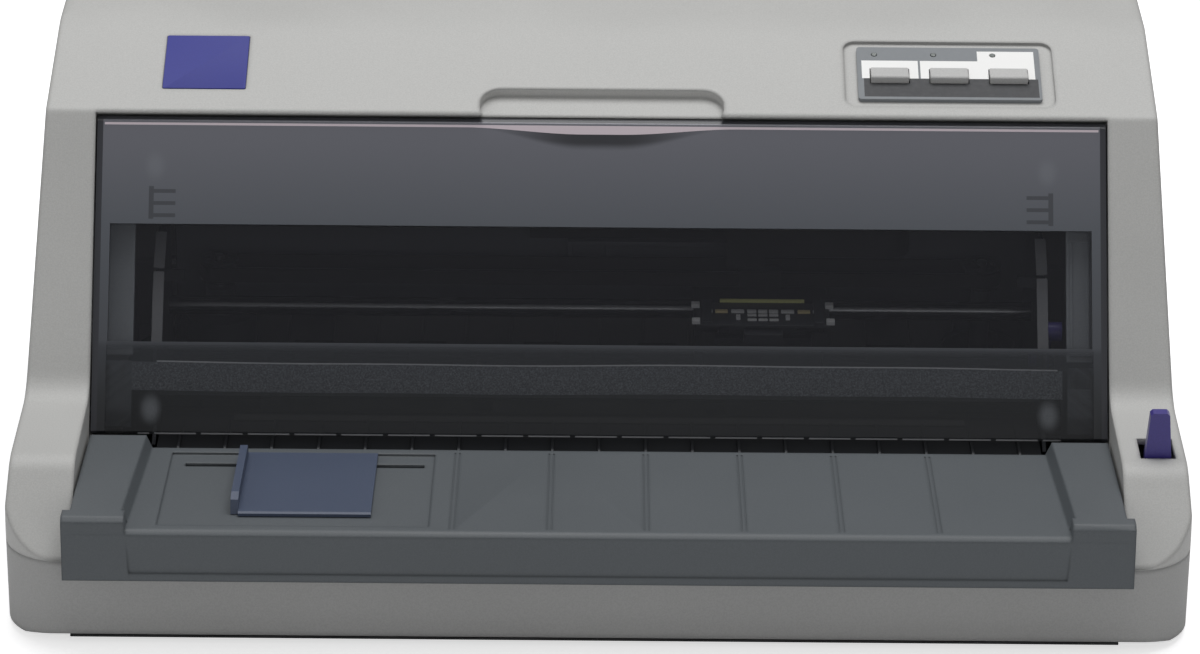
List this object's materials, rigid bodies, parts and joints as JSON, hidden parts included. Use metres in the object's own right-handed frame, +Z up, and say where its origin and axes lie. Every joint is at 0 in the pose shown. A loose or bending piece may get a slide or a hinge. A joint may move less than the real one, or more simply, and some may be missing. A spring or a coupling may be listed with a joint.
{
  "type": "dot matrix printer",
  "caption": "Flatbed dot matrix printer with a hinged smoked cover, front paper tray with edge guide, print carriage, feed train and rear tractors.",
  "frame": {"origin": "centre of the footprint, at the underside of the feet", "axes": "+X to the right across the width, +Y to the rear, +Z up"},
  "size_m": [0.468, 0.303, 0.184],
  "materials": {
    "housing_plastic": "light grey textured ABS",
    "case_plastic": "mid grey textured ABS",
    "tray_plastic": "dark slate textured ABS",
    "guide_plastic": "slate blue moulded plastic",
    "smoked_cover": "smoked styrene, finely textured",
    "smoked_window": "clear smoked styrene",
    "black_plastic": "black moulded plastic",
    "dark_plastic": "charcoal moulded plastic",
    "lever_plastic": "violet blue plastic",
    "panel_plastic": "grey printed plate, no lettering",
    "key_plastic": "light grey key caps",
    "light_lens": "lens of a status light",
    "badge_blue": "blue plate, no lettering",
    "circuit_board": "glass fibre board with solder mask",
    "zinc_steel": "zinc plated sheet steel",
    "brushed_steel": "stainless strip",
    "polished_steel": "ground and polished steel",
    "platen_rubber": "hard black rubber",
    "roller_rubber": "black feed rubber",
    "belt_rubber": "toothed belt",
    "foot_rubber": "soft foot rubber",
    "head_metal": "black anodised die casting",
    "cable_film": "flat polyester film cable",
    "brass": "turned brass",
    "gear_plastic": "natural acetal",
    "connector_metal": "nickel plated shell"
  },
  "bodies": {
    "printer": {"lower_case": "case_plastic", "upper_case": "housing_plastic", "front_tray": "tray_plastic", "panel_plate": "panel_plastic", "panel_board": "circuit_board", "panel_lights": "light_lens", "badge_plate": "badge_blue", "front_paper_guide": "dark_plastic", "front_rail": "zinc_steel", "tear_bar": "brushed_steel", "platen": "platen_rubber", "rear_paper_guide": "dark_plastic", "side_frames": "zinc_steel", "rear_wall": "black_plastic", "label_plate": "dark_plastic", "guide_shaft": "polished_steel", "carriage_belt": "belt_rubber", "carriage_motor": "zinc_steel", "pinch_rollers": "roller_rubber", "feed_motor": "zinc_steel", "tractor_rod": "polished_steel", "switch_housing": "black_plastic", "ac_inlet": "black_plastic", "connectors": "connector_metal", "main_board": "circuit_board", "power_supply": "circuit_board", "feet": "foot_rubber", "case_screws": "polished_steel"},
    "cover": {"top_cover": "smoked_cover", "cover_window": "smoked_window", "cover_hinges": "black_plastic"},
    "edge_guide": {"edge_guide": "guide_plastic"},
    "release_lever": {"release_lever": "lever_plastic"},
    "key_1": {"key_1": "key_plastic"},
    "key_2": {"key_2": "key_plastic"},
    "key_3": {"key_3": "key_plastic"},
    "carriage": {"carriage": "black_plastic", "print_head": "head_metal", "head_cable": "cable_film"},
    "drive_pulley": {"drive_pulley": "brass"},
    "idler_pulley": {"idler_pulley": "gear_plastic"},
    "front_feed": {"front_feed_roller": "roller_rubber"},
    "rear_feed": {"rear_feed_roller": "roller_rubber"},
    "idler_gear": {"idler_gear": "gear_plastic"},
    "motor_pinion": {"motor_pinion": "brass"},
    "transfer_gear_1": {"transfer_gear_1": "gear_plastic"},
    "transfer_gear_2": {"transfer_gear_2": "gear_plastic"},
    "transfer_gear_3": {"transfer_gear_3": "gear_plastic"},
    "tractor_drive": {"tractor_shaft": "polished_steel", "tractor_gear": "gear_plastic"},
    "tractor_left": {"tractor_left": "dark_plastic"},
    "tractor_right": {"tractor_right": "dark_plastic"},
    "sprocket_left": {"sprocket_left": "gear_plastic"},
    "sprocket_right": {"sprocket_right": "gear_plastic"},
    "door_left": {"tractor_door_left": "dark_plastic"},
    "door_right": {"tractor_door_right": "dark_plastic"},
    "thickness_lever": {"thickness_lever": "lever_plastic"},
    "rear_sheet_guide": {"rear_sheet_guide": "housing_plastic"},
    "power_rocker": {"power_switch": "black_plastic"}
  },
  "joints": [
    {"name": "cover_hinge", "type": "hinge", "parent": "printer", "child": "cover", "pos_m": [0, -0.04803, 0.0586], "axis": [1, 0, 0], "range_deg": [0, 88]},
    {"name": "edge_guide_slide", "type": "slide", "parent": "printer", "child": "edge_guide", "axis": [1, 0, 0], "range_m": [-0.024, 0.02]},
    {"name": "release_lever_pivot", "type": "hinge", "parent": "printer", "child": "release_lever", "pos_m": [0.2215, -0.096, 0.046], "axis": [1, 0, 0], "range_deg": [-28, 0]},
    {"name": "key_1_press", "type": "slide", "parent": "printer", "child": "key_1", "axis": [0, -0.3256, 0.9455], "range_m": [-0.0008, 0], "stiffness_N_per_m": 500},
    {"name": "key_2_press", "type": "slide", "parent": "printer", "child": "key_2", "axis": [0, -0.3256, 0.9455], "range_m": [-0.0008, 0], "stiffness_N_per_m": 500},
    {"name": "key_3_press", "type": "slide", "parent": "printer", "child": "key_3", "axis": [0, -0.3256, 0.9455], "range_m": [-0.0008, 0], "stiffness_N_per_m": 500},
    {"name": "carriage_slide", "type": "slide", "parent": "printer", "child": "carriage", "axis": [1, 0, 0], "range_m": [-0.205, 0.075], "deforming": ["head_cable"]},
    {"name": "drive_pulley_spin", "type": "hinge", "parent": "printer", "child": "drive_pulley", "pos_m": [-0.161, 0.05, 0.075], "axis": [0, 0, 1], "continuous": true},
    {"name": "idler_pulley_spin", "type": "hinge", "parent": "printer", "child": "idler_pulley", "pos_m": [0.161, 0.05, 0.075], "axis": [0, 0, 1], "continuous": true},
    {"name": "rear_feed_spin", "type": "hinge", "parent": "printer", "child": "rear_feed", "pos_m": [0, 0.024, 0.0408], "axis": [1, 0, 0], "continuous": true},
    {"name": "front_feed_spin", "type": "hinge", "parent": "printer", "child": "front_feed", "pos_m": [0, -0.014, 0.0408], "axis": [1, 0, 0], "continuous": true},
    {"name": "idler_gear_spin", "type": "hinge", "parent": "printer", "child": "idler_gear", "pos_m": [0.187, 0.005, 0.0408], "axis": [1, 0, 0], "continuous": true},
    {"name": "motor_pinion_spin", "type": "hinge", "parent": "printer", "child": "motor_pinion", "pos_m": [0.187, 0.03205, 0.0247], "axis": [1, 0, 0], "continuous": true},
    {"name": "transfer_1_spin", "type": "hinge", "parent": "printer", "child": "transfer_gear_1", "pos_m": [0.187, 0.04789, 0.0431], "axis": [1, 0, 0], "continuous": true},
    {"name": "transfer_2_spin", "type": "hinge", "parent": "printer", "child": "transfer_gear_2", "pos_m": [0.187, 0.07078, 0.0453], "axis": [1, 0, 0], "continuous": true},
    {"name": "transfer_3_spin", "type": "hinge", "parent": "printer", "child": "transfer_gear_3", "pos_m": [0.187, 0.09368, 0.0475], "axis": [1, 0, 0], "continuous": true},
    {"name": "tractor_drive_spin", "type": "hinge", "parent": "printer", "child": "tractor_drive", "pos_m": [0, 0.11757, 0.0498], "axis": [1, 0, 0], "continuous": true},
    {"name": "tractor_left_slide", "type": "slide", "parent": "printer", "child": "tractor_left", "axis": [1, 0, 0], "range_m": [-0.012, 0.03]},
    {"name": "tractor_right_slide", "type": "slide", "parent": "printer", "child": "tractor_right", "axis": [1, 0, 0], "range_m": [-0.03, 0.012]},
    {"name": "sprocket_left_spin", "type": "hinge", "parent": "tractor_left", "child": "sprocket_left", "pos_m": [-0.121, 0.11757, 0.0498], "axis": [1, 0, 0], "continuous": true},
    {"name": "sprocket_right_spin", "type": "hinge", "parent": "tractor_right", "child": "sprocket_right", "pos_m": [0.121, 0.11757, 0.0498], "axis": [1, 0, 0], "continuous": true},
    {"name": "tractor_door_left_hinge", "type": "hinge", "parent": "tractor_left", "child": "door_left", "pos_m": [-0.129, 0.11757, 0.0607], "axis": [0, 1, 0], "range_deg": [-100, 0]},
    {"name": "tractor_door_right_hinge", "type": "hinge", "parent": "tractor_right", "child": "door_right", "pos_m": [0.129, 0.11757, 0.0607], "axis": [0, 1, 0], "range_deg": [0, 100]},
    {"name": "thickness_lever_pivot", "type": "hinge", "parent": "printer", "child": "thickness_lever", "pos_m": [0.184, 0, 0.062], "axis": [1, 0, 0], "range_deg": [-8, 22]},
    {"name": "rear_sheet_guide_hinge", "type": "hinge", "parent": "printer", "child": "rear_sheet_guide", "pos_m": [0, 0.14288, 0.11029], "axis": [1, 0, 0], "range_deg": [-80, 0]},
    {"name": "power_rocker_tilt", "type": "hinge", "parent": "printer", "child": "power_rocker", "pos_m": [-0.229, -0.06, 0.021], "axis": [0, 0, 1], "range_deg": [-5, 5]}
  ],
  "couplings": [
    {"joint": "drive_pulley_spin", "follows": "carriage_slide", "rad_per_m": 131.58},
    {"joint": "idler_pulley_spin", "follows": "carriage_slide", "rad_per_m": 131.58},
    {"joint": "front_feed_spin", "follows": "rear_feed_spin", "ratio": 1},
    {"joint": "idler_gear_spin", "follows": "rear_feed_spin", "ratio": -2.1667},
    {"joint": "motor_pinion_spin", "follows": "rear_feed_spin", "ratio": -2.6},
    {"joint": "transfer_1_spin", "follows": "rear_feed_spin", "ratio": -1.1818},
    {"joint": "transfer_2_spin", "follows": "rear_feed_spin", "ratio": 1.0833},
    {"joint": "transfer_3_spin", "follows": "rear_feed_spin", "ratio": -1.1818},
    {"joint": "tractor_drive_spin", "follows": "rear_feed_spin", "ratio": 1},
    {"joint": "sprocket_left_spin", "follows": "rear_feed_spin", "ratio": 1},
    {"joint": "sprocket_right_spin", "follows": "rear_feed_spin", "ratio": 1}
  ]
}
